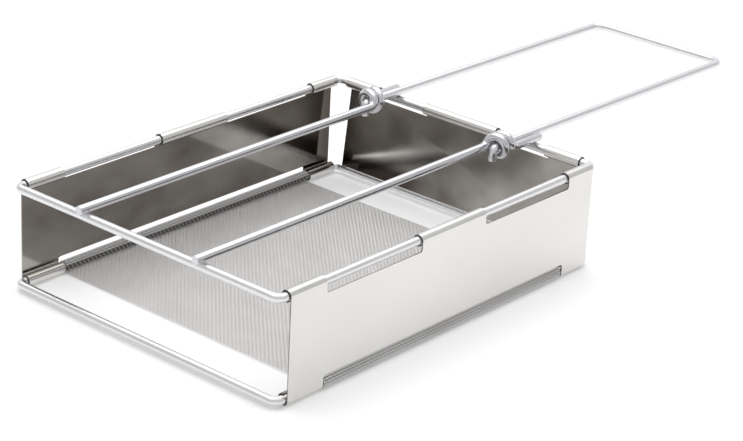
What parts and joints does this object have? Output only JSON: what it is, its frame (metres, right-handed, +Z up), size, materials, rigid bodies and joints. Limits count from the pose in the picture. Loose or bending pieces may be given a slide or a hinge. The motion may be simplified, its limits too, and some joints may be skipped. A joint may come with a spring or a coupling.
{
  "type": "folding camp toaster",
  "caption": "Folding camp toaster: wire frames joined by sheet side panels rolled round them, with a mesh floor, bread rods and a sliding wire handle.",
  "frame": {"origin": "middle of the overall footprint, on the surface the toaster stands on", "axes": "+X from the open front towards the handle, +Y across, +Z up"},
  "size_m": [0.285, 0.1218, 0.0451],
  "materials": {
    "frame_wire": "bright drawn",
    "rod_wire": "bright drawn",
    "handle_wire": "bright drawn",
    "side_sheet": "bright rolled",
    "end_sheet": "bright rolled",
    "floor_mesh": "woven",
    "weld": "as welded"
  },
  "bodies": {
    "bottom": {"bottom_frame": "frame_wire", "floor_mesh": "floor_mesh"},
    "near_side": {"near_side_panel": "side_sheet"},
    "far_side": {"far_side_panel": "side_sheet"},
    "top": {"top_frame": "frame_wire", "near_rod": "rod_wire", "far_rod": "rod_wire", "near_front_weld": "weld", "near_rear_weld": "weld", "far_front_weld": "weld", "far_rear_weld": "weld"},
    "end": {"end_panel": "end_sheet"},
    "handle": {"handle": "handle_wire"}
  },
  "joints": [
    {"name": "side_fold", "type": "hinge", "parent": "bottom", "child": "near_side", "pos_m": [-0.06075, -0.0585, 0.00238], "axis": [-1, 0, 0], "range_deg": [0, 83]},
    {"name": "far_side_lean", "type": "hinge", "parent": "bottom", "child": "far_side", "pos_m": [-0.06075, 0.0585, 0.00238], "axis": [-1, 0, 0], "range_deg": [0, 83]},
    {"name": "top_level", "type": "hinge", "parent": "near_side", "child": "top", "pos_m": [-0.06075, -0.0585, 0.03688], "axis": [-1, 0, 0], "range_deg": [-83, 0]},
    {"name": "end_panel_swing", "type": "hinge", "parent": "top", "child": "end", "pos_m": [0.018, 0, 0.03688], "axis": [0, -1, 0], "range_deg": [0, 86.6]},
    {"name": "handle_slide", "type": "slide", "parent": "top", "child": "handle", "axis": [-0.9999, 0, 0.014], "range_m": [0, 0.113]}
  ],
  "couplings": [
    {"joint": "far_side_lean", "follows": "side_fold", "ratio": 1},
    {"joint": "top_level", "follows": "side_fold", "ratio": -1},
    {"joint": "end_panel_swing", "follows": "side_fold", "ratio": 1.043}
  ]
}
